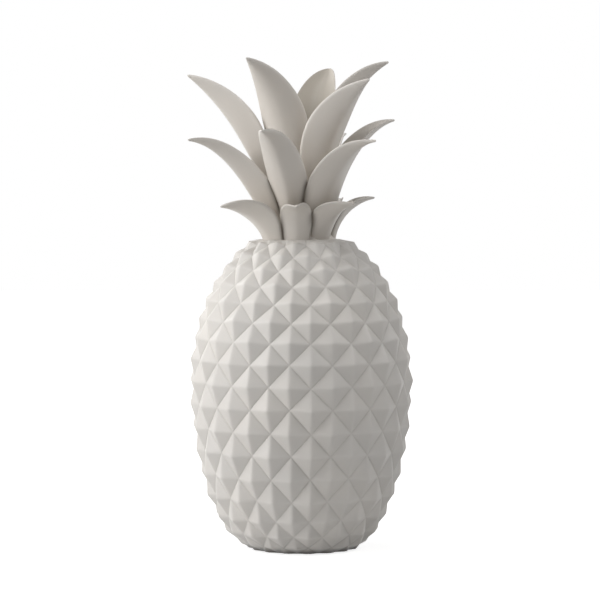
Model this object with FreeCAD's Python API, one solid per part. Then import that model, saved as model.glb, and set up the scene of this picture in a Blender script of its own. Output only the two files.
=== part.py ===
import FreeCAD, Part
import math
import os
from collections import namedtuple

# A pineapple ornament in glazed ceramic: a hollow body cast with rows of low pyramids,
# a core set in the body's neck, and three tiers of leaves luted to the core.
# Millimetres, +Z up. The origin is the middle of the flat foot and -Y is the front.

Vec = FreeCAD.Vector

# Outside of the body: two half ellipses that meet at the belly, where the body is widest.
# Each would close a little past the end of the body, at a share of the way from the belly to it.
belly_radius = 65.7
belly_height = 103.8
collar_height = 191.0
collar_radius = 24.0
collar_slope = 3.7
foot_edge_radius = 31.5
foot_edge_height = 0.3
foot_radius = 30.2
foot_tuck = 5.3
foot_tuck_height = 14.0
upper_reach_share = 1.085
lower_reach_share = 1.215
upper_reach = (collar_height - belly_height) * upper_reach_share
lower_reach = belly_height * lower_reach_share

# Pyramids of the body: every row has the same number, set half a pyramid round from the last
pyramids_round = 16
row_count = 17
top_row_height = collar_height - collar_slope
pyramid_rise = 3.7
first_column_angle = 5.2
row_growth_share = 1.72
foot_squeeze_share = 0.405
foot_squeeze_power = 6.0
top_fade_shares = (0.75, 0.95)
foot_fade_shares = (0.35, 0.7, 0.9)
level_tips_height = 40.0

# Inside of the body
wall = 5.0
floor_thickness = 8.0
ceiling_thickness = 6.5
neck_radius = 13.0
vent_radius = 2.5
vent_offset = 12.0
cavity_curve_points = 15

# Core that closes the neck and carries the leaves
core_root_radius = 21.0
core_top_radius = 9.0
core_height = 20.0
core_top_round = 2.0
spigot_depth = 9.0
lute_gap = 0.4

# Leaves: the length and the greatest width in each tier
lower_length = 39.5
lower_width = 25.5
middle_length = 86.5
middle_width = 29.0
upper_length = 110.0
upper_width = 33.0

# Seats, where the middle line of a leaf starts: in the lower tier a little inside and under
# the collar's rim, in the others at a share of the core's height and this deep in its side
lower_seat_inset = 0.5
lower_seat_sink = 2.4
middle_seat_share = 0.10
middle_seat_depth = 2.5
upper_seat_share = 0.47
upper_seat_depth = 4.5

# Blades of the leaves
edge_thickness = 2.0
edge_thinning_share = 0.5
tip_half_width = 1.0
channel_share = 0.75
camber_share = 0.07
taper_power = 1.8
sweep_power = 1.5
leaf_steps = 48
steps_per_section = 6

# A cut runs this far past the face that it opens
overrun = 2.0


def core_radius(share):
    """Radius of the core at a share of its height."""
    return core_root_radius + (core_top_radius - core_root_radius) * share


# The three tiers: the name, the seat's radius, its height above the collar, and the blade's sizes
Tier = namedtuple("Tier", "name seat_radius seat_rise length width peak_share")
lower_tier = Tier("lower_leaf", collar_radius - lower_seat_inset, -lower_seat_sink,
                  lower_length, lower_width, peak_share=0.45)
middle_tier = Tier("middle_leaf", core_radius(middle_seat_share) - middle_seat_depth,
                   core_height * middle_seat_share, middle_length, middle_width, peak_share=0.36)
upper_tier = Tier("upper_leaf", core_radius(upper_seat_share) - upper_seat_depth,
                  core_height * upper_seat_share, upper_length, upper_width, peak_share=0.56)

# One row for each leaf, because they are set by hand. Angles are in degrees: the azimuth from the
# front to the right, the lean from upright at the root and at the tip, the sideways sweep and the
# roll that have built up at the tip, and the fold of each half back from flat. The curl is the power
# by which the lean grows along the leaf. The seat, the length and the greatest width are shares of
# the tier's own, and the root's width is a share of the greatest.
Leaf = namedtuple("Leaf", "azimuth root_lean tip_lean curl sweep roll fold "
                          "seat_share length_share width_share root_share")
lower_leaf_shares = (
    Leaf(-160, 8, 84, 1.0, 0, -6, 24, 1.00, 0.98, 0.95, 0.75),
    Leaf(-108, 9, 90, 1.0, 0, -4, 22, 1.02, 0.88, 0.97, 0.75),
    Leaf(-54, 10, 90, 0.7, -10, -17, 18, 1.05, 1.10, 1.16, 0.72),
    Leaf(-8, 6, 112, 1.9, 14, -8, 17, 1.01, 0.84, 0.79, 0.82),
    Leaf(41, 7, 81, 0.8, 4, -4, 30, 0.92, 0.96, 1.04, 0.68),
    Leaf(94, 4, 81, 1.0, 0, -4, 20, 0.89, 1.00, 0.96, 0.58),
    Leaf(147, 8, 80, 1.0, 0, 6, 24, 0.95, 0.98, 0.95, 0.75),
)
middle_leaf_shares = (
    Leaf(-146, 18, 82, 2.0, 0, 6, 32, 1.00, 0.95, 0.98, 0.50),
    Leaf(-68, 32, 87, 3.1, 5, -11, 38, 1.02, 0.98, 1.05, 0.56),
    Leaf(-18, 20, 87, 1.3, 6, -11, 32, 1.00, 1.16, 0.97, 0.37),
    Leaf(37, 23, 87, 2.1, 5, -3, 29, 1.00, 0.95, 1.06, 0.68),
    Leaf(110, 16, 76, 2.4, 5, -16, 35, 1.00, 1.03, 0.99, 0.50),
    Leaf(154, 17, 80, 2.0, 0, 4, 32, 1.00, 0.97, 0.98, 0.50),
)
upper_leaf_shares = (
    Leaf(-148, 10, 56, 2.4, 0, 6, 34, 1.00, 0.94, 1.00, 0.33),
    Leaf(-86, 26, 55, 2.9, -4, -30, 37, 1.00, 1.00, 1.03, 0.32),
    Leaf(-26, 9, 59, 2.6, -15, -11, 28, 1.00, 1.02, 0.97, 0.32),
    Leaf(33, 19, 57, 1.8, 9, -1, 35, 1.00, 0.95, 1.08, 0.39),
    Leaf(87, 9, 60, 2.4, 7, 20, 35, 1.00, 1.02, 1.00, 0.32),
    Leaf(153, 11, 67, 2.3, 14, -3, 33, 1.00, 1.04, 1.06, 0.32),
)


def around(radius, angle, height):
    """Point at an angle in degrees from the front towards the right."""
    turn = math.radians(angle)
    return Vec(radius * math.sin(turn), -radius * math.cos(turn), height)


def oval_radius(height):
    """Radius of the two half ellipses."""
    reach = upper_reach if height > belly_height else lower_reach
    return belly_radius * math.sqrt(1 - ((height - belly_height) / reach) ** 2)


def body_radius(height):
    """Radius of the body where the pyramids' grooves lie: the oval, tucked in above the foot."""
    return oval_radius(height) - foot_tuck * max(0, 1 - height / foot_tuck_height) ** 2


def body_normal(height):
    """Outward direction of the body's outline, as its radial and upward shares."""
    reach = upper_reach if height > belly_height else lower_reach
    taper = (height - belly_height) * belly_radius ** 2 / (oval_radius(height) * reach ** 2)
    taper -= 2 * foot_tuck / foot_tuck_height * max(0, 1 - height / foot_tuck_height)
    size = math.hypot(1, taper)
    return 1 / size, taper / size


def row_height(row):
    """Rows are low at the neck, grow towards the belly and close up a little at the foot."""
    depth = row / row_count
    grown = row_growth_share * (1 - math.cos(depth * math.pi / 2)) * 2 / math.pi
    whole = 1 + row_growth_share * 2 / math.pi - foot_squeeze_share
    share = (depth + grown - foot_squeeze_share * depth ** foot_squeeze_power) / whole
    return top_row_height - (top_row_height - foot_edge_height) * share


def column_angle(row, column):
    """Azimuth of a corner. Odd rows lie half a pyramid round from even ones."""
    pitch = 360 / pyramids_round
    return first_column_angle + pitch * (column - (row % 2) / 2)


def corner(row, column):
    """Point where four pyramids meet."""
    height = row_height(row)
    radius = foot_edge_radius if row == row_count else body_radius(height)
    return around(radius, column_angle(row, column), height)


def rise_of_row(row):
    """Height of a row's pyramids, which fade out at the neck and towards the foot."""
    if row < len(top_fade_shares):
        return pyramid_rise * top_fade_shares[row]
    if row_count - row < len(foot_fade_shares):
        return pyramid_rise * foot_fade_shares[row_count - row]
    return pyramid_rise


def apex(row, column):
    """Tip of the pyramid between two corners of its row. Towards the foot it points more level."""
    height = row_height(row)
    radius = foot_edge_radius if row == row_count else body_radius(height)
    radial, upward = body_normal(height)
    upward *= min(1, height / level_tips_height)
    rise = rise_of_row(row)
    angle = column_angle(row, column) + 180 / pyramids_round
    return around(radius + rise * radial, angle, height + rise * upward)


def triangle(a, b, c):
    return Part.Face(Part.makePolygon([a, b, c, a]))


def end_ring(row):
    """Corners and tips of the first or last row, in order round the body."""
    ring = []
    for column in range(pyramids_round):
        ring += [corner(row, column), apex(row, column)]
    return ring


def plain_ring(like, radius, height):
    """Points at one radius and height, each at the azimuth of a point of another ring."""
    return [Vec(p.x, p.y, 0).normalize() * radius + Vec(0, 0, height) for p in like]


def band(upper, lower):
    """Triangles between two rings that have the same number of points."""
    faces = []
    for i, point in enumerate(upper):
        after = (i + 1) % len(upper)
        faces += [triangle(point, lower[i], lower[after]), triangle(point, lower[after], upper[after])]
    return faces


def ring_face(ring):
    return Part.Face(Part.makePolygon(ring + ring[:1]))


def body_block():
    """The body's outside as one solid, with nothing hollowed out."""
    faces = []
    for row in range(row_count + 1):
        for column in range(pyramids_round):
            tip = apex(row, column)
            left = corner(row, column)
            right = corner(row, column + 1)
            beside = column + (row + 1) % 2
            if row > 0:
                above = corner(row - 1, beside)
                faces += [triangle(tip, above, left), triangle(tip, right, above)]
            if row < row_count:
                below = corner(row + 1, beside)
                faces += [triangle(tip, left, below), triangle(tip, below, right)]
    top_ring = end_ring(0)
    collar_ring = plain_ring(top_ring, collar_radius, collar_height)
    foot_edge_ring = end_ring(row_count)
    foot_ring = plain_ring(foot_edge_ring, foot_radius, 0)
    faces += band(collar_ring, top_ring) + band(foot_edge_ring, foot_ring)
    faces += [ring_face(collar_ring), ring_face(foot_ring)]
    shell = Part.Shell(faces)
    shell.sewShape()
    return outward(Part.Solid(shell))


def outward(solid):
    """The same solid with its faces turned outwards."""
    if solid.Volume < 0:
        solid.reverse()
    return solid


def cavity():
    """Hollow of the body, with the neck that it was poured through."""
    radius = belly_radius - wall
    top = collar_height - ceiling_thickness
    turns = []
    for level, reach in ((floor_thickness, lower_reach - wall), (top, upper_reach - wall)):
        turns.append(math.asin((level - belly_height) / reach))
    points = []
    for i in range(cavity_curve_points):
        turn = turns[0] + (turns[1] - turns[0]) * i / (cavity_curve_points - 1)
        reach = upper_reach - wall if turn > 0 else lower_reach - wall
        points.append(Vec(radius * math.cos(turn), 0, belly_height + reach * math.sin(turn)))
    side = Part.BSplineCurve()
    side.interpolate(points)
    mouth = collar_height + overrun
    outline = [points[-1], Vec(neck_radius, 0, top), Vec(neck_radius, 0, mouth),
               Vec(0, 0, mouth), Vec(0, 0, floor_thickness), points[0]]
    wire = Part.Wire([side.toShape()] + Part.makePolygon(outline).Edges)
    return Part.Face(wire).revolve(Vec(0, 0, 0), Vec(0, 0, 1), 360)


def vent():
    """Hole that lets the air out of the closed body in the kiln."""
    depth = floor_thickness + 2 * overrun
    return Part.makeCylinder(vent_radius, depth, Vec(0, vent_offset, -overrun))


def body_shell():
    return body_block().cut(outward(cavity())).cut(vent())


def crown_core():
    """Tapered stub on the collar, with a spigot down the neck."""
    spigot_radius = neck_radius - lute_gap
    outline = [Vec(0, 0, collar_height - spigot_depth),
               Vec(spigot_radius, 0, collar_height - spigot_depth),
               Vec(spigot_radius, 0, collar_height),
               Vec(core_root_radius, 0, collar_height),
               Vec(core_top_radius, 0, collar_height + core_height),
               Vec(0, 0, collar_height + core_height)]
    face = Part.Face(Part.makePolygon(outline + outline[:1]))
    core = outward(face.revolve(Vec(0, 0, 0), Vec(0, 0, 1), 360))
    top_edges = [e for e in core.Edges if e.BoundBox.ZMin > collar_height + core_height / 2
                 and e.BoundBox.XLength > core_top_radius]
    return core.makeFillet(core_top_round, top_edges)


def blade_half_width(tier, leaf, share):
    """Half of a leaf's width at a share of its length: it swells from the root, then tapers."""
    swell = (1 - math.cos(min(share / tier.peak_share, 1) * math.pi)) / 2
    past_peak = max(share - tier.peak_share, 0) / (1 - tier.peak_share)
    outline = (leaf.root_share + (1 - leaf.root_share) * swell) * (1 - past_peak ** taper_power)
    return tier.width * leaf.width_share * outline / 2 + tip_half_width * share


def middle_line(tier, leaf):
    """Steps along a leaf: the point, the way the leaf runs, and the share of its length."""
    step = tier.length * leaf.length_share / leaf_steps
    point = Vec(tier.seat_radius * leaf.seat_share, 0, collar_height + tier.seat_rise)
    line = []
    for i in range(leaf_steps + 1):
        share = i / leaf_steps
        lean = math.radians(leaf.root_lean + (leaf.tip_lean - leaf.root_lean) * share ** leaf.curl)
        sweep = math.radians(leaf.sweep * share ** sweep_power)
        way = Vec(math.sin(lean) * math.cos(sweep), math.sin(sweep), math.cos(lean) * math.cos(sweep))
        line.append((point, way, share))
        point = point + way * step
    return line


def section(tier, leaf, point, way, share):
    """Closed cross-section of a blade: a keel outside, a shallow channel inside, blunt edges."""
    across = (Vec(0, 1, 0) - way * way.y).normalize()
    outside = across.cross(way)
    roll = math.radians(leaf.roll * share)
    across, outside = (across * math.cos(roll) + outside * math.sin(roll),
                       outside * math.cos(roll) - across * math.sin(roll))
    half = blade_half_width(tier, leaf, share)
    fold = math.radians(leaf.fold)
    thick = edge_thickness * (1 - edge_thinning_share * share)
    sides = []
    for hand in (-1, 1):
        along_half = across * (hand * math.cos(fold)) - outside * math.sin(fold)
        out_of_half = across * (hand * math.sin(fold)) + outside * math.cos(fold)
        outer_edge = point + along_half * half
        swell = point + along_half * (half / 2) + out_of_half * (half * camber_share)
        sides.append((outer_edge, swell, outer_edge - out_of_half * thick))
    left, right = sides
    inner_half = half * math.cos(fold) - thick * math.sin(fold)
    channel = inner_half * math.tan(fold) * channel_share
    bottom = (left[2] + right[2]) / 2 + outside * channel
    edges = [Part.Arc(left[0], left[1], point).toShape(),
             Part.Arc(point, right[1], right[0]).toShape(),
             Part.makeLine(right[0], right[2]),
             Part.Arc(right[2], bottom, left[2]).toShape(),
             Part.makeLine(left[2], left[0])]
    return Part.Wire(edges)


def leaf_solid(tier, leaf, settled):
    """A leaf, trimmed where it is pressed against what is already in place."""
    line = middle_line(tier, leaf)
    wires = [section(tier, leaf, *line[i]) for i in range(0, leaf_steps + 1, steps_per_section)]
    blade = outward(Part.makeLoft(wires, True, False))
    blade.rotate(Vec(0, 0, 0), Vec(0, 0, 1), leaf.azimuth - 90)
    for shape in settled:
        if shape.BoundBox.intersect(blade.BoundBox):
            blade = max(blade.cut(shape).Solids, key=lambda solid: solid.Volume)
    return blade


def write(name, shape):
    shape.exportStep(os.path.join("parts", name + ".step"))
    box = shape.BoundBox
    print("%-16s solids %d valid %s volume %.0f  z %.1f to %.1f" %
          (name, len(shape.Solids), shape.isValid(), shape.Volume, box.ZMin, box.ZMax))


def main():
    os.makedirs("parts", exist_ok=True)
    write("body_shell", body_shell())
    core = crown_core()
    write("crown_core", core)
    below_collar = Part.makeCylinder(belly_radius, collar_height)
    settled = [below_collar, core]
    tiers = ((upper_tier, upper_leaf_shares), (middle_tier, middle_leaf_shares),
             (lower_tier, lower_leaf_shares))
    for tier, leaves in tiers:
        for number, leaf in enumerate(leaves, 1):
            solid = leaf_solid(tier, leaf, settled)
            write("%s_%d" % (tier.name, number), solid)
            settled.append(solid)


main()
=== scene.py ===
import bmesh
import bpy
import math
import numpy as np
from collections import namedtuple
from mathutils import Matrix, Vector, noise
from mathutils.bvhtree import BVHTree
from mathutils.geometry import tessellate_polygon


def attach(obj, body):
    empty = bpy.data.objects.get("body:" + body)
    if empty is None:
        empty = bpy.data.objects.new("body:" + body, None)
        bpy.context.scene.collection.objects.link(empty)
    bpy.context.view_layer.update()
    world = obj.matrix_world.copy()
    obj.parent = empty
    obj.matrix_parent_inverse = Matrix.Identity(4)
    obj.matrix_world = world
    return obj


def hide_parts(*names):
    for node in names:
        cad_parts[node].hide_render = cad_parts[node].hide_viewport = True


# Looks of a pineapple ornament in satin-glazed ceramic. The shapes repeat the sizes of the solids
# and add what glaze and hand work do: soft ridges, filled grooves, thin rims. Lengths are in
# millimetres and angles in degrees, but the floor, the lamps and the camera are in metres.

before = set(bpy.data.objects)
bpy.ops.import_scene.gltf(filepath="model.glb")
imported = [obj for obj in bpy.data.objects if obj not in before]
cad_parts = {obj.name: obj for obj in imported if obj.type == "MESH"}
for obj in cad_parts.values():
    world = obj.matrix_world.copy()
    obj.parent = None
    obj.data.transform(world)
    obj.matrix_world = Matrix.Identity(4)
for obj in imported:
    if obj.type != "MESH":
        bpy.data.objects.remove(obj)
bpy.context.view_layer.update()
MM = 0.001

# Body: an oval with a tucked-in foot, under rows of low pyramids that are counted from the top
belly_radius = 65.7
belly_height = 103.8
collar_height = 191.0
collar_radius = 24.0
collar_slope = 3.7
foot_edge_radius = 31.5
foot_edge_height = 0.3
foot_radius = 30.2
foot_tuck = 5.3
foot_tuck_height = 14.0
upper_reach_share = 1.085
lower_reach_share = 1.215
upper_reach = (collar_height - belly_height) * upper_reach_share
lower_reach = belly_height * lower_reach_share
pyramids_round = 16
row_count = 17
top_row_height = collar_height - collar_slope
pyramid_rise = 3.7
first_column_angle = 5.2
row_growth_share = 1.72
foot_squeeze_share = 0.405
foot_squeeze_power = 6.0
level_tips_height = 40.0

# Shares of the tips' rise in the rows next to the collar, and in those from the foot up
top_fade_shares = (0.75, 0.95)
foot_fade_shares = (1.35, 0.85, 0.95)

# The hollow with its neck, the vent hole in the foot, and the painted shade that each gets through
# the groove mask
wall = 5.0
floor_thickness = 8.0
ceiling_thickness = 6.5
neck_radius = 13.0
vent_radius = 2.5
vent_offset = 12.0
vent_sides = 24
cavity_rings = 15
neck_shade = 0.4
cavity_shade = 0.3
vent_shade = 0.5

# How far from an edge the glaze rounds it. The facets are cut finer towards their edges.
ridge_round = 1.3
groove_round = 0.5
facet_steps = 12
crowding = 0.75
merge_digits = 4
body_sharp_angle = 42

# The thin line that is left in each groove, fainter towards the foot, and the reach of the masks
line_depth = 0.2
line_reach = 0.35
line_fade_height = 45.0
low_line_share = 0.35
groove_reach = 0.45
ridge_reach = 0.8

# Hand work: corners and tips stand out of place, and the rows near the top are softer as well
uneven_by = 0.8
soft_rows = 4
top_unevenness = 0.9
top_softness = 0.18
row_seed = 3.7
column_seed = 5.3
tip_seed = 11.0
corner_seed = 29.0
out_of_round = 0.22
out_of_round_scale = 0.045

# Without a seed the vector noise takes its offsets from the clock
hand_seed = 5
noise.seed_set(hand_seed)

# Low bumps between the top row and the collar's plain circle. Their place and half width are
# shares of the way to the collar, and the half width is also a share of a pyramid's width.
collar_bump = 1.1
collar_rings = 12
bump_size = 1.15
bump_place = 0.55
bump_half_width = 0.5
bump_outward = 0.6
bump_upward = 0.8
bump_seeds = (3.1, 7.0)

# Foot: its edge stands a little to the right, and a nearly black painted contact shadow lies there.
# The painted shadow begins at foot_shade_top and is full at foot_shade_height below it. Low grooves
# and the underside get some of it too.
foot_rings = 2
foot_band = 2.0
foot_aside = 1.2
foot_aside_height = 12.0
foot_shade_top = 3.8
foot_shade_height = 2.8
low_groove_height = 16.0
underside_share = 0.4

# Where the lattice was pulled aside, up or down by hand
Pull = namedtuple("Pull", "angle height angle_spread height_spread turn lift")
pulls = (
    Pull(36, 155, 22, 18, 2.4, 0.0),
    Pull(50, 40, 25, 27, 2.5, 0.0),
    Pull(-60, 146, 20, 14, -2.2, 0.0),
    Pull(-45, 40, 22, 14, -1.0, 0.0),
    Pull(10, 122, 55, 30, 0.0, -0.8),
    Pull(-45, 60, 25, 12, 0.0, 0.8),
    Pull(15, 50, 25, 14, 0.0, 0.9),
    Pull(-45, 21, 35, 11, 0.0, -0.9),
    Pull(-62, 176, 30, 12, 0.0, 1.5),
    Pull(55, 176, 25, 12, 0.0, 1.0),
)

# Blades: thin at the rim, thicker at the keel, with the valley inside partly filled
tip_half_width = 0.55
edge_thickness = 1.9
edge_thinning_share = 0.4
keel_thickening = 0.14
widest_rounding = 0.9
valley_fill = 0.05
valley_width = 0.16
camber_share = 0.07
full_camber_fold = 32.0
keel_softness = 0.15
soft_keels = {"upper_leaf_3": 0.45}
taper_power = 1.8
sweep_power = 1.5
blade_steps = 64
across_shares = (0, 0.035, 0.08, 0.14, 0.23, 0.35, 0.48, 0.62, 0.75, 0.86, 0.93, 0.97, 0.992, 1)
cap_length = 1.1
cap_rings = 6
least_shrink = 0.02
wobble_size = 0.45
wobble_scale = 0.03
wobble_seed = 0.37
leaf_sharp_angle = 70

# Masks of the blades: a painted highlight on rims and keels, painted shade at the roots, painted
# shade in creases along the rims near the roots and wherever blades come close, and painted shade
# on the inside of one back blade
rim_reach = 1.1
keel_reach = 1.3
root_shade_length = 14.0
crease_length = 46.0
crease_reach = 1.0
crease_power = 0.7
crease_share = 0.35
contact_reach = 2.0
contact_search = 3
rim_contact_share = 0.6
painted_shade_insides = {"upper_leaf_6": 1.0}

Tier = namedtuple("Tier", "name seat_radius seat_rise length width peak_share")
lower_tier = Tier("lower_leaf", 23.5, -2.4, 39.5, 25.5, 0.45)
middle_tier = Tier("middle_leaf", 17.3, 2.0, 86.5, 29.0, 0.36)
upper_tier = Tier("upper_leaf", 10.86, 9.4, 110.0, 33.0, 0.56)
Leaf = namedtuple("Leaf", "azimuth root_lean tip_lean curl sweep roll fold "
                          "seat_share length_share width_share root_share")
lower_leaf_shares = (
    Leaf(-160, 8, 84, 1.0, 0, -6, 24, 1.00, 0.98, 0.95, 0.75),
    Leaf(-108, 9, 90, 1.0, 0, -4, 22, 1.02, 0.88, 0.97, 0.75),
    Leaf(-54, 10, 90, 0.7, -10, -17, 18, 1.05, 1.10, 1.16, 0.72),
    Leaf(-8, 6, 112, 1.9, 14, -8, 17, 1.01, 0.84, 0.79, 0.82),
    Leaf(41, 7, 81, 0.8, 4, -4, 30, 0.92, 0.96, 1.04, 0.68),
    Leaf(94, 4, 81, 1.0, 0, -4, 20, 0.89, 1.00, 0.96, 0.58),
    Leaf(147, 8, 80, 1.0, 0, 6, 24, 0.95, 0.98, 0.95, 0.75),
)
middle_leaf_shares = (
    Leaf(-146, 18, 82, 2.0, 0, 6, 32, 1.00, 0.95, 0.98, 0.50),
    Leaf(-68, 32, 87, 3.1, 5, -11, 38, 1.02, 0.98, 1.05, 0.56),
    Leaf(-18, 20, 87, 1.3, 6, -11, 32, 1.00, 1.16, 0.97, 0.37),
    Leaf(37, 23, 87, 2.1, 5, -3, 29, 1.00, 0.95, 1.06, 0.68),
    Leaf(110, 16, 76, 2.4, 5, -16, 35, 1.00, 1.03, 0.99, 0.50),
    Leaf(154, 17, 80, 2.0, 0, 4, 32, 1.00, 0.97, 0.98, 0.50),
)
upper_leaf_shares = (
    Leaf(-148, 10, 56, 2.4, 0, 6, 34, 1.00, 0.94, 1.00, 0.33),
    Leaf(-86, 26, 55, 2.9, -4, -30, 37, 1.00, 1.00, 1.03, 0.32),
    Leaf(-26, 9, 59, 2.6, -15, -11, 28, 1.00, 1.02, 0.97, 0.32),
    Leaf(33, 19, 57, 1.8, 9, -1, 35, 1.00, 0.95, 1.08, 0.39),
    Leaf(87, 9, 60, 2.4, 7, 20, 35, 1.00, 1.02, 1.00, 0.32),
    Leaf(153, 11, 67, 2.3, 14, -3, 33, 1.00, 1.04, 1.06, 0.32),
)

# Glaze: its colours, the scales of its noises per metre, and what these do to it
# The groove colour darkens the body's grooves as pooled glaze and painted shade, and on the blades
# it is painted shade at the roots. The rim colour is a painted highlight on ridges, rims and keels.
GlazeColours = namedtuple("GlazeColours", "plain groove rim")
body_colours = GlazeColours((0.67, 0.642, 0.607), (0.50, 0.475, 0.44), (0.74, 0.71, 0.675))
leaf_colours = GlazeColours((0.69, 0.648, 0.597), (0.50, 0.465, 0.42), (0.79, 0.755, 0.71))
# Painted contact shadow at the foot, nearly black
contact_shadow_colour = (0.035, 0.031, 0.026)
# Painted shade in the creases between blades
crease_shade_colour = (0.09, 0.07, 0.05)
# Painted shade on the inside of one back blade
inside_shade_colour = (0.40, 0.36, 0.30)
cloud_scale = 22
speck_scale = 900
streak_scale = 60
ripple_scale = 260
warm_cloud = (1.035, 1.03, 1.02)
cool_cloud = (0.955, 0.96, 0.965)
noise_range = (0.3, 0.7)
mask_noise_range = (0.25, 0.75)
least_mask_share = 0.7
speck_range = (0.70, 0.78)
speck_strength = 0.16
speck_shade = 0.82
roughness_range = (0.50, 0.62)
ripple_strength = 0.12
ripple_depth = 0.0004

# Floor, lamps and camera, in metres
floor_half_size = 4.0
floor_level = -0.0002
lamp_distance = 1.9
lamp_target = np.array((0, 0, 0.15))
Lamp = namedtuple("Lamp", "name azimuth elevation width height power")
lamps = (
    Lamp("side", -75, 10, 0.8, 0.8, 12.5),
    Lamp("left", -95, 30, 0.8, 0.8, 10.5),
    Lamp("front", -30, 8, 0.8, 0.8, 4.4),
    Lamp("high_left", -50, 55, 0.8, 0.8, 6.2),
    Lamp("high_right", 75, 38, 1.0, 0.8, 10.2),
    Lamp("over", -30, 82, 0.8, 0.8, 8.2),
    Lamp("back", -140, 25, 0.8, 0.8, 5.0),
)
aim_height = 0.1534
camera_distance = 1.6068
camera_elevation = 2.48
picture_width = 600
picture_shift = -1.3


def ring_point(radius, turn, height):
    """Point at an angle in radians from the front towards the right."""
    return np.array((radius * math.sin(turn), -radius * math.cos(turn), height))


def around(radius, angle, height):
    """The same for an angle in degrees."""
    return ring_point(radius, math.radians(angle), height)


def turn_of(point):
    """A point's angle in radians from the front towards the right."""
    return math.atan2(point[0], -point[1])


def unit(v):
    return v / np.linalg.norm(v)


def oval_radius(height):
    reach = upper_reach if height > belly_height else lower_reach
    return belly_radius * math.sqrt(1 - ((height - belly_height) / reach) ** 2)


def body_radius(height):
    """The oval, tucked in above the foot."""
    return oval_radius(height) - foot_tuck * max(0, 1 - height / foot_tuck_height) ** 2


def body_normal(height):
    """The outward normal's shares, away from the axis and up."""
    reach = upper_reach if height > belly_height else lower_reach
    taper = (height - belly_height) * belly_radius ** 2 / (oval_radius(height) * reach ** 2)
    taper -= 2 * foot_tuck / foot_tuck_height * max(0, 1 - height / foot_tuck_height)
    size = math.hypot(1, taper)
    return 1 / size, taper / size


def row_height(row):
    """The rows grow taller downwards and are squeezed again towards the foot."""
    depth = row / row_count
    grown = row_growth_share * (1 - math.cos(depth * math.pi / 2)) * 2 / math.pi
    whole = 1 + row_growth_share * 2 / math.pi - foot_squeeze_share
    share = (depth + grown - foot_squeeze_share * depth ** foot_squeeze_power) / whole
    return top_row_height - (top_row_height - foot_edge_height) * share


def row_radius(row):
    return foot_edge_radius if row == row_count else body_radius(row_height(row))


def column_angle(row, column):
    """Every second row is set half a pyramid round."""
    pitch = 360 / pyramids_round
    return first_column_angle + pitch * (column - (row % 2) / 2)


def corner(row, column):
    return around(row_radius(row), column_angle(row, column), row_height(row))


def apex(row, column):
    height = row_height(row)
    radial, upward = body_normal(height)
    upward *= min(1, height / level_tips_height)
    rise = pyramid_rise
    if row < len(top_fade_shares):
        rise *= top_fade_shares[row]
    if row_count - row < len(foot_fade_shares):
        rise *= foot_fade_shares[row_count - row]
    angle = column_angle(row, column) + 180 / pyramids_round
    return around(row_radius(row) + rise * radial, angle, height + rise * upward)


def unevenness(kind, row, column):
    """Hand work: each corner and tip a little out of its place, the same on every run."""
    if row == row_count:
        return np.zeros(3)
    seed = Vector((row * row_seed, column % pyramids_round * column_seed,
                   tip_seed if kind == "t" else corner_seed))
    top_share = max(0, 1 - row / soft_rows)
    return np.array(noise.noise_vector(seed)) * uneven_by * (1 + top_share * top_unevenness)


def pulled(point):
    """The point, turned round the axis and lifted by the pulls near it."""
    angle = math.degrees(turn_of(point))
    turned, height = angle, point[2]
    for p in pulls:
        share = math.exp(-((angle - p.angle) / p.angle_spread) ** 2
                         - ((point[2] - p.height) / p.height_spread) ** 2)
        turned += p.turn * share
        height += p.lift * share
    return around(math.hypot(point[0], point[1]), turned, height)


def facets():
    """The pyramids' faces, each as the keys of its tip and two corners."""
    found = []
    for row in range(row_count + 1):
        for column in range(pyramids_round):
            tip = ("t", row, column)
            left = ("c", row, column)
            right = ("c", row, (column + 1) % pyramids_round)
            beside = (column + (row + 1) % 2) % pyramids_round
            if row > 0:
                above = ("c", row - 1, beside)
                found += [(tip, above, left), (tip, right, above)]
            if row < row_count:
                below = ("c", row + 1, beside)
                found += [(tip, left, below), (tip, below, right)]
    return found


def lattice():
    """The facets' keys, the place of each key, and the facets' outward normals."""
    keys = facets()
    place = {}
    for key in {k for f in keys for k in f}:
        plain = apex(*key[1:]) if key[0] == "t" else corner(*key[1:])
        place[key] = pulled(plain + unevenness(*key))
    normals = []
    for f in keys:
        a, b, c = (place[k] for k in f)
        n = unit(np.cross(b - a, c - a))
        normals.append(-n if np.dot(n[:2], a[:2]) < 0 else n)
    return keys, place, normals


# bend is the facets' slope against the mean normal: above 0 in a groove, which the glaze fills,
# and below 0 on a ridge, which it rounds off
SoftEdge = namedtuple("SoftEdge", "bend mean reach is_groove")


def soft_edges(keys, place, normals):
    """How the glaze rounds each edge between two facets."""
    sides = {}
    for i, f in enumerate(keys):
        for j in range(3):
            sides.setdefault(frozenset((f[j], f[(j + 1) % 3])), []).append(i)
    soft = {}
    for edge, pair in sides.items():
        if len(pair) < 2:
            continue
        n1, n2 = normals[pair[0]], normals[pair[1]]
        mean = unit(n1 + n2)
        slope = math.tan(math.acos(min(1.0, float(np.dot(n1, n2)))) / 2)
        other = [k for k in keys[pair[0]] if k not in edge][0]
        outward = 1 if np.dot(place[other] - place[min(edge)], mean) > 0 else -1
        is_groove = all(k[0] == "c" for k in edge)
        reach = groove_round if is_groove else ridge_round
        reach *= 1 + top_softness * max(0, soft_rows - min(k[1] for k in edge))
        soft[edge] = SoftEdge(slope * outward, mean, reach, is_groove)
    return soft


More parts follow.
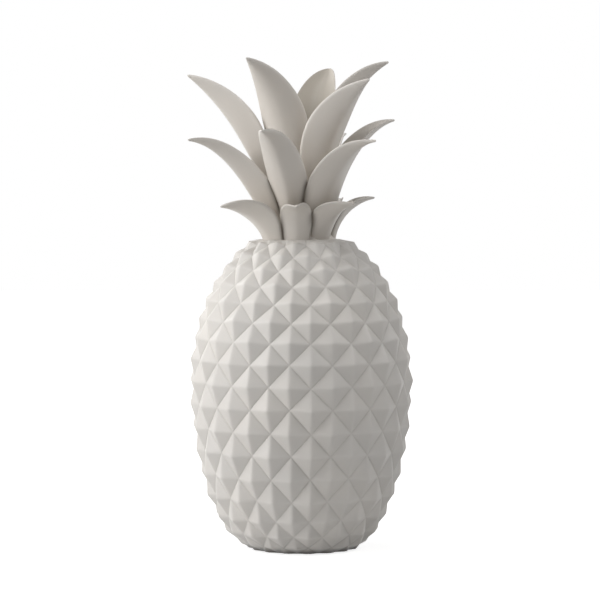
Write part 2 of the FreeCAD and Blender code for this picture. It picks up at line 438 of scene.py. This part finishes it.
def facet_grid():
    """Weights of the three corners at each point of a grid over a facet, and its triangles."""
    n = facet_steps

    def ease(x):
        return (1 - crowding) * x + crowding * x * x * (3 - 2 * x)

    grid = [(i, j, n - i - j) for i in range(n + 1) for j in range(n + 1 - i)]
    weights = np.array([[ease(k / n) for k in place] for place in grid])
    weights /= weights.sum(axis=1)[:, None]
    order = {(i, j): m for m, (i, j, _) in enumerate(grid)}
    small = []
    for i in range(n):
        for j in range(n - i):
            small.append((order[(i, j)], order[(i + 1, j)], order[(i, j + 1)]))
            if i + j < n - 1:
                small.append((order[(i + 1, j)], order[(i + 1, j + 1)], order[(i, j + 1)]))
    return weights, small


def body_surface():
    """The pyramids with rounded ridges and filled grooves: points, faces, groove mask, rim mask."""
    keys, place, normals = lattice()
    soft = soft_edges(keys, place, normals)
    weights, small = facet_grid()
    base, shift, grooves, rims, faces = [], [], [], [], []
    count = 0
    for f, normal in zip(keys, normals):
        tri = np.array([place[k] for k in f])
        points = weights @ tri
        moved = np.zeros_like(points)
        groove = np.zeros(len(points))
        rim = np.zeros(len(points))
        clear = np.clip(points[:, 2] / line_fade_height, low_line_share, 1)
        for j in range(3):
            edge = soft.get(frozenset((f[j], f[(j + 1) % 3])))
            if edge is None:
                continue
            p, q = tri[j], tri[(j + 1) % 3]
            along = unit(q - p)
            away = points - p
            far = np.linalg.norm(away - np.outer(away @ along, along), axis=1)
            near = np.clip(edge.reach - far, 0, None)
            moved += np.outer(edge.bend * near ** 2 / (2 * edge.reach), edge.mean)
            # Grooves get a mask for pooled glaze and painted shade, and ridges one for a painted
            # highlight
            if edge.is_groove:
                groove = np.maximum(groove, clear * np.exp(-(far / groove_reach) ** 2))
                line = clear * line_depth * np.exp(-(far / line_reach) ** 2)
                moved -= np.outer(line, edge.mean)
            else:
                rim = np.maximum(rim, np.exp(-(far / ridge_reach) ** 2))
        turned = np.dot(np.cross(tri[1] - tri[0], tri[2] - tri[0]), normal) > 0
        for a, b, c in small:
            faces.append((count + a, count + b, count + c) if turned
                         else (count + a, count + c, count + b))
        base.append(points)
        shift.append(moved)
        grooves.append(groove)
        rims.append(rim)
        count += len(points)
    base = np.vstack(base)
    placed = base + np.vstack(shift)
    _, which = np.unique(np.round(base, merge_digits), axis=0, return_inverse=True)
    which = which.ravel()
    total = np.bincount(which).astype(float)

    def merged(values):
        return np.bincount(which, weights=values) / total

    points = np.column_stack([merged(placed[:, axis]) for axis in range(3)])
    faces = which[np.array(faces)]
    return points, faces, merged(np.concatenate(grooves)), merged(np.concatenate(rims))


def mesh_object(name, points, faces, masks, sharp_angle):
    """A mesh from points in millimetres, with smooth faces and sharp edges where it turns hard."""
    mesh = bpy.data.meshes.new(name)
    mesh.from_pydata([tuple(p) for p in np.asarray(points) * MM], [], [tuple(f) for f in faces])
    mesh.validate()
    mesh.polygons.foreach_set("use_smooth", [True] * len(mesh.polygons))
    for key, values in masks.items():
        layer = mesh.attributes.new(key, "FLOAT", "POINT")
        layer.data.foreach_set("value", np.asarray(values, dtype=np.float32))
    mesh.set_sharp_from_angle(angle=math.radians(sharp_angle))
    mesh.update()
    obj = bpy.data.objects.new(name, mesh)
    bpy.context.scene.collection.objects.link(obj)
    return obj


def clean(obj):
    """Points that share a place merged, and all faces turned outwards."""
    bm = bmesh.new()
    bm.from_mesh(obj.data)
    bmesh.ops.remove_doubles(bm, verts=bm.verts, dist=1e-7)
    bmesh.ops.recalc_face_normals(bm, faces=bm.faces)
    bm.to_mesh(obj.data)
    bm.free()
    obj.data.update()


def border_loop(points, faces, level, above):
    """The open border above or below a level, in order of its angle."""
    edges = {}
    for f in faces:
        for j in range(3):
            a, b = int(f[j]), int(f[(j + 1) % 3])
            key = (min(a, b), max(a, b))
            edges[key] = edges.get(key, 0) + 1
    border = {v for e, k in edges.items() if k == 1 for v in e}
    chosen = [v for v in border if (points[v][2] > level) == above]
    return sorted(chosen, key=lambda v: turn_of(points[v]))


def fill_between(points, outer, hole):
    """Flat faces between a round outline and a round hole inside it."""
    loops = [[Vector(points[v]) for v in ring] for ring in (outer, hole)]
    flat = outer + hole
    return [tuple(flat[k] for k in tri) for tri in tessellate_polygon(loops)]


def make_body():
    points, faces, grooves, rims = body_surface()
    for i, p in enumerate(points):
        fade = min(1.0, max(0.0, p[2] - foot_edge_height) / foot_aside_height)
        swell = noise.noise(Vector(p) * out_of_round_scale)
        out = unit(np.array((p[0], p[1], 0.0)))
        points[i] = p + out * (out_of_round * fade * swell)
        points[i][0] += foot_aside * (1 - fade)
    points = list(points)
    faces = [tuple(int(v) for v in f) for f in faces]
    grooves, rims = list(grooves), list(rims)
    top = border_loop(points, faces, belly_height, True)
    foot = border_loop(points, faces, belly_height, False)

    def add_point(point, groove=0.0):
        points.append(point)
        grooves.append(groove)
        rims.append(0.0)
        return len(points) - 1

    def add_ring(like, radius, height, groove=0.0):
        """A circle with one point at the angle of each point of another ring."""
        return [add_point(ring_point(radius, turn_of(points[v]), height), groove) for v in like]

    def bridge(a, b):
        """Faces between two rings with the same number of points."""
        for i in range(len(a)):
            j = (i + 1) % len(a)
            faces.append((a[i], b[i], b[j], a[j]))

    def soften(border, bump, radius, height, steps):
        """Rings from an open border to a plain circle, with low bumps between the last tips."""
        last = border
        for k in range(1, steps + 1):
            share = k / steps
            fresh = []
            for v in border:
                p = points[v]
                turn = turn_of(p)
                outset = math.hypot(p[0], p[1])
                column = (math.degrees(turn) - first_column_angle) * pyramids_round / 360
                aside = abs(column - round(column)) / bump_half_width
                seed = Vector((round(column) % pyramids_round * bump_seeds[0], bump_seeds[1], 0.0))
                hill = max(0.0, bump_size - aside - abs(share - bump_place) / bump_half_width)
                swell = bump * (1 + noise.noise(seed)) * hill * hill * (3 - 2 * min(hill, 1.0))
                outset = outset + (radius - outset) * share + bump_outward * swell
                rise = p[2] + (height - p[2]) * share + bump_upward * swell
                fresh.append(add_point(ring_point(outset, turn, rise)))
            bridge(fresh, last)
            last = fresh
        return last

    collar = soften(top, collar_bump, collar_radius, collar_height, collar_rings)
    neck_top = add_ring(collar, neck_radius, collar_height)
    bridge(neck_top, collar)
    ceiling = collar_height - ceiling_thickness
    last = add_ring(collar, neck_radius, ceiling, neck_shade)
    bridge(last, neck_top)
    start = math.asin((ceiling - belly_height) / (upper_reach - wall))
    end = math.asin((floor_thickness - belly_height) / (lower_reach - wall))
    for k in range(cavity_rings):
        turn = start + (end - start) * k / (cavity_rings - 1)
        reach = (upper_reach if turn > 0 else lower_reach) - wall
        ring = add_ring(collar, (belly_radius - wall) * math.cos(turn),
                        belly_height + reach * math.sin(turn), cavity_shade)
        bridge(ring, last)
        last = ring
    cavity_floor = last
    foot_ring = soften(foot, 0.0, foot_radius, 0.0, foot_rings)
    underside = add_ring(foot_ring, foot_radius - foot_band, 0.0)
    bridge(foot_ring, underside)
    tube = []
    for height in (0.0, floor_thickness):
        tube.append([add_point(ring_point(vent_radius, 2 * math.pi * k / vent_sides, height)
                               + (0, vent_offset, 0), vent_shade) for k in range(vent_sides)])
    bridge(tube[1], tube[0])
    faces += fill_between(points, underside, tube[0])
    faces += fill_between(points, cavity_floor, tube[1])
    # Painted contact shadow: full near the floor, in the low grooves, and a share of it on the
    # underside and at the vent's lower end
    foot_shading = []
    for p, groove in zip(points, grooves):
        low = max(0.0, 1 - p[2] / low_groove_height)
        foot_shading.append(min(1.0, max(0.0, (foot_shade_top - p[2]) / foot_shade_height, groove * low)))
    for v in underside + tube[0]:
        foot_shading[v] = underside_share
    obj = mesh_object("body", points, faces, {"groove": grooves, "rim": rims, "foot": foot_shading},
                      body_sharp_angle)
    clean(obj)
    return obj


def blade_half_width(tier, leaf, share):
    swell = (1 - math.cos(min(share / tier.peak_share, 1) * math.pi)) / 2
    past_peak = max(share - tier.peak_share, 0) / (1 - tier.peak_share)
    outline = (leaf.root_share + (1 - leaf.root_share) * swell) * (1 - past_peak ** taper_power)
    return tier.width * leaf.width_share * outline / 2 + tip_half_width * share


def middle_line(tier, leaf):
    """Points, directions and shares from a blade's root to its tip."""
    step = tier.length * leaf.length_share / blade_steps
    point = np.array((tier.seat_radius * leaf.seat_share, 0.0, collar_height + tier.seat_rise))
    line = []
    for i in range(blade_steps + 1):
        share = i / blade_steps
        lean = math.radians(leaf.root_lean + (leaf.tip_lean - leaf.root_lean) * share ** leaf.curl)
        sweep = math.radians(leaf.sweep * share ** sweep_power)
        way = np.array((math.sin(lean) * math.cos(sweep), math.sin(sweep),
                        math.cos(lean) * math.cos(sweep)))
        line.append((point, way, share))
        point = point + way * step
    return line


def soft_fold(t, softness):
    """Distance from the keel as a share, rounded near the keel."""
    return (np.sqrt(t * t + softness ** 2) - softness) / (math.sqrt(1 + softness ** 2) - softness)


def blade_section(tier, leaf, softness, point, way, share, shrink):
    """Points across a blade's outside and inside, and its rim, keel and crease masks."""
    across = unit(np.array((0.0, 1.0, 0.0)) - way * way[1])
    outside = np.cross(across, way)
    roll = math.radians(leaf.roll * share)
    across, outside = (across * math.cos(roll) + outside * math.sin(roll),
                       outside * math.cos(roll) - across * math.sin(roll))
    half = blade_half_width(tier, leaf, share)
    fold = math.radians(leaf.fold)
    depth = half * math.sin(fold)
    right = np.array(across_shares)
    t = np.concatenate((-right[::-1], right[1:]))
    a = np.abs(t)
    camber = camber_share * min(1.0, leaf.fold / full_camber_fold)
    bent = soft_fold(t, softness)
    crown = camber * 4 * bent * (1 - bent) * half
    thick = edge_thickness * (1 - edge_thinning_share * share)
    full = thick + keel_thickening * depth * (1 - a)
    round_edge = min(widest_rounding, 0.5 * thick / half)
    edge = np.clip((a - (1 - round_edge)) / round_edge, 0, 1)
    body = full * np.sqrt(np.clip(1 - edge ** 2, 0, 1))
    middle = -depth * bent + crown - full / 2
    outer = middle + body / 2
    inner = middle - body / 2 - valley_fill * depth * np.exp(-(t / valley_width) ** 2)
    width = half * math.cos(fold) * t
    centre = float(np.mean(middle))
    rows = [point + np.outer(width * shrink, across)
            + np.outer(centre + (y - centre) * shrink, outside) for y in (outer, inner)]
    from_root = share * tier.length * leaf.length_share / crease_length
    # Masks for a painted highlight on the rims and keel, and for painted shade in the creases
    rim = np.exp(-((1 - a) * half / rim_reach) ** 2) * min(1.0, from_root)
    keel = np.exp(-(a * half / keel_reach) ** 2)
    crease = np.exp(-((1 - a) * half / crease_reach) ** 2)
    crease *= max(0.0, 1 - from_root) ** crease_power
    return rows, rim, keel, crease * crease_share


def once_round(outer, inner):
    """Values across a blade's outside and back across its inside, with the rims taken once."""
    return np.concatenate((outer, inner[::-1][1:-1]))


def make_leaf(tier, leaf, number):
    name = "%s_%d" % (tier.name, number)
    softness = soft_keels.get(name, keel_softness)
    line = middle_line(tier, leaf)
    length = tier.length * leaf.length_share
    cap = cap_length / length
    stations = [(p, w, s, 1.0) for p, w, s in line if s < 1 - cap]
    end_point, end_way, _ = line[-1]
    for k in range(1, cap_rings + 1):
        q = k / cap_rings
        s = 1 - cap + cap * math.sin(q * math.pi / 2)
        back = end_point - end_way * (length * (1 - s))
        stations.append((back, end_way, s, max(math.cos(q * math.pi / 2), least_shrink)))
    points = []
    masks = {"rim": [], "keel": [], "crease": [], "root": [], "inside": []}
    for p, w, s, shrink in stations:
        (outer, inner), rim, keel, crease = blade_section(tier, leaf, softness, p, w, s, shrink)
        ring = once_round(outer, inner)
        points.append(ring)
        masks["rim"].append(once_round(rim, rim))
        masks["keel"].append(once_round(keel, np.zeros(len(keel))))
        masks["crease"].append(once_round(crease, crease))
        # Painted shade near the root, and on the inside of the chosen back blade
        masks["root"].append(np.full(len(ring), math.exp(-s * length / root_shade_length)))
        inner_shade = np.full(len(inner), painted_shade_insides.get(name, 0.0))
        masks["inside"].append(once_round(np.zeros(len(outer)), inner_shade))
    size = len(points[0])
    turn = math.radians(leaf.azimuth - 90)
    spin = np.array(((math.cos(turn), -math.sin(turn), 0), (math.sin(turn), math.cos(turn), 0),
                     (0, 0, 1)))
    points = np.vstack(points) @ spin.T
    seed = Vector((tier.length, leaf.azimuth, number)) * wobble_seed
    for i, p in enumerate(points):
        wobble = noise.noise_vector(Vector(p) * wobble_scale + seed)
        points[i] = p + np.array(wobble) * wobble_size
    faces = []
    for r in range(len(stations) - 1):
        a, b = r * size, (r + 1) * size
        for i in range(size):
            j = (i + 1) % size
            faces.append((a + i, a + j, b + j, b + i))
    last = (len(stations) - 1) * size
    faces.append(tuple(range(size))[::-1])
    faces.append(tuple(range(last, last + size)))
    masks = {key: np.concatenate(values) for key, values in masks.items()}
    obj = mesh_object("blade_" + name, points, faces, masks, leaf_sharp_angle)
    clean(obj)
    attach(obj, "root")
    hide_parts(name)
    return obj


def shade_contacts(blades):
    """Raise each blade's crease mask, which paints shade, where it comes close to another blade,
    less at its rims.
    """
    shapes = [([v.co.copy() for v in b.data.vertices], [tuple(p.vertices) for p in b.data.polygons])
              for b in blades]
    for i, blade in enumerate(blades):
        points, faces = [], []
        for other_points, other_faces in shapes[:i] + shapes[i + 1:]:
            first = len(points)
            points += other_points
            faces += [tuple(first + v for v in f) for f in other_faces]
        tree = BVHTree.FromPolygons(points, faces)
        layer = blade.data.attributes["crease"]
        mask = np.zeros(len(layer.data), dtype=np.float32)
        rim = np.zeros(len(layer.data), dtype=np.float32)
        layer.data.foreach_get("value", mask)
        blade.data.attributes["rim"].data.foreach_get("value", rim)
        for k, point in enumerate(shapes[i][0]):
            reach = contact_reach * MM * (1 - rim_contact_share * rim[k])
            gap = tree.find_nearest(point, contact_search * reach)[3]
            if gap is not None:
                mask[k] = max(mask[k], math.exp(-(gap / reach) ** 2))
        layer.data.foreach_set("value", mask)


def glaze(name, colours, masks):
    """Satin glaze with colour clouds, specks and fine ripples, and a shade of its own where each
    mask is: darker grooves from pooled glaze and painted shade, a painted highlight on rims and
    keels, painted shade in creases, at roots and on insides, and a painted contact shadow at the
    foot."""
    material = bpy.data.materials.new(name)
    material.use_nodes = True
    nodes, links = material.node_tree.nodes, material.node_tree.links
    shader = nodes["Principled BSDF"]
    where = nodes.new("ShaderNodeTexCoord")

    def noise_node(scale, detail, roughness=0.5):
        node = nodes.new("ShaderNodeTexNoise")
        node.inputs["Scale"].default_value = scale
        node.inputs["Detail"].default_value = detail
        node.inputs["Roughness"].default_value = roughness
        links.new(where.outputs["Object"], node.inputs["Vector"])
        return node.outputs["Fac"]

    def remap(source, low, high, to_low, to_high):
        node = nodes.new("ShaderNodeMapRange")
        node.inputs["From Min"].default_value = low
        node.inputs["From Max"].default_value = high
        node.inputs["To Min"].default_value = to_low
        node.inputs["To Max"].default_value = to_high
        links.new(source, node.inputs["Value"])
        return node.outputs["Result"]

    def mix(factor, first, second):
        node = nodes.new("ShaderNodeMix")
        node.data_type = "RGBA"
        links.new(factor, node.inputs["Factor"])
        for socket, value in ((6, first), (7, second)):
            if isinstance(value, tuple):
                node.inputs[socket].default_value = (*value, 1)
            else:
                links.new(value, node.inputs[socket])
        return node.outputs[2]

    def times(first, second):
        node = nodes.new("ShaderNodeMath")
        node.operation = "MULTIPLY"
        links.new(first, node.inputs[0])
        links.new(second, node.inputs[1])
        return node.outputs[0]

    clouds = noise_node(cloud_scale, 4)
    warm = tuple(min(1, c * k) for c, k in zip(colours.plain, warm_cloud))
    cool = tuple(c * k for c, k in zip(colours.plain, cool_cloud))
    tone = mix(remap(clouds, *noise_range, 0, 1), cool, warm)
    specks = remap(noise_node(speck_scale, 2, 0.6), *speck_range, 0, speck_strength)
    tone = mix(specks, tone, tuple(c * speck_shade for c in colours.plain))
    shades = {"groove": colours.groove, "rim": colours.rim, "foot_shadow": contact_shadow_colour,
              "crease": crease_shade_colour, "inside": inside_shade_colour}
    for key, shade, strength in masks:
        mask = nodes.new("ShaderNodeAttribute")
        mask.attribute_name = key
        uneven = remap(clouds, *mask_noise_range, strength * least_mask_share, strength)
        tone = mix(times(mask.outputs["Fac"], uneven), tone, shades[shade])
    links.new(tone, shader.inputs["Base Color"])
    streaks = noise_node(streak_scale, 5)
    links.new(remap(streaks, *noise_range, *roughness_range), shader.inputs["Roughness"])
    bump = nodes.new("ShaderNodeBump")
    bump.inputs["Strength"].default_value = ripple_strength
    bump.inputs["Distance"].default_value = ripple_depth
    links.new(noise_node(ripple_scale, 3), bump.inputs["Height"])
    links.new(bump.outputs["Normal"], shader.inputs["Normal"])
    shader.inputs["IOR"].default_value = 1.5
    shader.inputs["Coat Weight"].default_value = 0.12
    shader.inputs["Coat Roughness"].default_value = 0.38
    return material


# Each mask's attribute, the shade that it shows and how strongly. Grooves darken from pooled glaze
# and painted shade, rims and keels get a painted highlight, and foot, roots, insides and creases
# get painted shade.
body_glaze = glaze("body_glaze", body_colours,
                   (("groove", "groove", 0.50), ("rim", "rim", 0.20), ("foot", "foot_shadow", 1.0)))
leaf_glaze = glaze("leaf_glaze", leaf_colours,
                   (("rim", "rim", 0.50), ("keel", "rim", 0.06), ("root", "groove", 0.55),
                    ("inside", "inside", 0.95), ("crease", "crease", 0.95)))

body = make_body()
body.data.materials.append(body_glaze)
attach(body, "root")
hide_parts("body_shell")
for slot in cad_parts["crown_core"].material_slots:
    slot.material = leaf_glaze
blades = []
for tier, leaves in ((upper_tier, upper_leaf_shares), (middle_tier, middle_leaf_shares),
                     (lower_tier, lower_leaf_shares)):
    for number, leaf in enumerate(leaves, 1):
        blade = make_leaf(tier, leaf, number)
        blade.data.materials.append(leaf_glaze)
        blades.append(blade)
shade_contacts(blades)


def camera_ray_mask(nodes, links):
    """1 for the camera and for mirrored and clear views of the surroundings, else 0."""
    path = nodes.new("ShaderNodeLightPath")
    total = path.outputs["Is Camera Ray"]
    for key in ("Is Glossy Ray", "Is Transmission Ray"):
        node = nodes.new("ShaderNodeMath")
        node.operation = "MAXIMUM"
        links.new(total, node.inputs[0])
        links.new(path.outputs[key], node.inputs[1])
        total = node.outputs[0]
    return total


def make_world(strength):
    """White to the camera, and a faint light on the object."""
    world = bpy.data.worlds.new("studio")
    bpy.context.scene.world = world
    world.use_nodes = True
    nodes, links = world.node_tree.nodes, world.node_tree.links
    plain = nodes["Background"]
    plain.inputs["Color"].default_value = (1, 1, 1, 1)
    plain.inputs["Strength"].default_value = strength
    seen = nodes.new("ShaderNodeBackground")
    seen.inputs["Color"].default_value = (1, 1, 1, 1)
    seen.inputs["Strength"].default_value = 1.0
    choose = nodes.new("ShaderNodeMixShader")
    links.new(camera_ray_mask(nodes, links), choose.inputs["Fac"])
    links.new(plain.outputs[0], choose.inputs[1])
    links.new(seen.outputs[0], choose.inputs[2])
    links.new(choose.outputs[0], nodes["World Output"].inputs["Surface"])


def make_floor(glow, near, far):
    """Pale floor that glows for the camera only, up to white away from the object."""
    size, level = floor_half_size, floor_level
    mesh = bpy.data.meshes.new("floor")
    mesh.from_pydata([(-size, -size, level), (size, -size, level), (size, size, level),
                      (-size, size, level)], [], [(0, 1, 2, 3)])
    floor = bpy.data.objects.new("floor", mesh)
    bpy.context.scene.collection.objects.link(floor)
    material = bpy.data.materials.new("floor")
    material.use_nodes = True
    nodes, links = material.node_tree.nodes, material.node_tree.links
    shader = nodes["Principled BSDF"]
    shader.inputs["Base Color"].default_value = (0.6, 0.6, 0.6, 1)
    shader.inputs["Roughness"].default_value = 0.9
    shader.inputs["Specular IOR Level"].default_value = 0.1
    shader.inputs["Emission Color"].default_value = (1, 1, 1, 1)
    place = nodes.new("ShaderNodeNewGeometry")
    away = nodes.new("ShaderNodeVectorMath")
    away.operation = "LENGTH"
    links.new(place.outputs["Position"], away.inputs[0])
    rising = nodes.new("ShaderNodeMapRange")
    for key, value in (("From Min", near), ("From Max", far), ("To Min", glow), ("To Max", 1.0)):
        rising.inputs[key].default_value = value
    links.new(away.outputs["Value"], rising.inputs["Value"])
    strength = nodes.new("ShaderNodeMath")
    strength.operation = "MULTIPLY"
    links.new(rising.outputs["Result"], strength.inputs[1])
    links.new(camera_ray_mask(nodes, links), strength.inputs[0])
    links.new(strength.outputs[0], shader.inputs["Emission Strength"])
    floor.data.materials.append(material)


def make_lamp(name, azimuth, elevation, width, height, power):
    """A soft rectangular light: azimuth from the front towards the right, both in degrees."""
    data = bpy.data.lights.new(name, "AREA")
    data.shape = "RECTANGLE"
    data.size = width
    data.size_y = height
    data.energy = power
    lamp = bpy.data.objects.new(name, data)
    bpy.context.scene.collection.objects.link(lamp)
    rise = math.radians(elevation)
    aside = around(lamp_distance * math.cos(rise), azimuth, lamp_distance * math.sin(rise))
    lamp.location = aside + lamp_target
    lamp.rotation_mode = "QUATERNION"
    lamp.rotation_quaternion = Vector(-aside).to_track_quat("-Z", "Y")


def make_camera():
    data = bpy.data.cameras.new("camera")
    camera = bpy.data.objects.new("camera", data)
    bpy.context.scene.collection.objects.link(camera)
    elevation = math.radians(camera_elevation)
    camera.location = (0, -camera_distance * math.cos(elevation),
                       aim_height + camera_distance * math.sin(elevation))
    ahead = Vector((0, math.cos(elevation), -math.sin(elevation)))
    camera.rotation_mode = "QUATERNION"
    camera.rotation_quaternion = ahead.to_track_quat("-Z", "Y")
    data.sensor_width = 36
    data.lens = 156
    data.shift_x = picture_shift / picture_width
    data.clip_start = 0.05
    data.clip_end = 20
    bpy.context.scene.camera = camera


make_world(strength=0.03)
make_floor(glow=0.8, near=0.25, far=0.7)
for lamp in lamps:
    make_lamp(*lamp)
make_camera()
bpy.context.scene.view_settings.view_transform = "Standard"
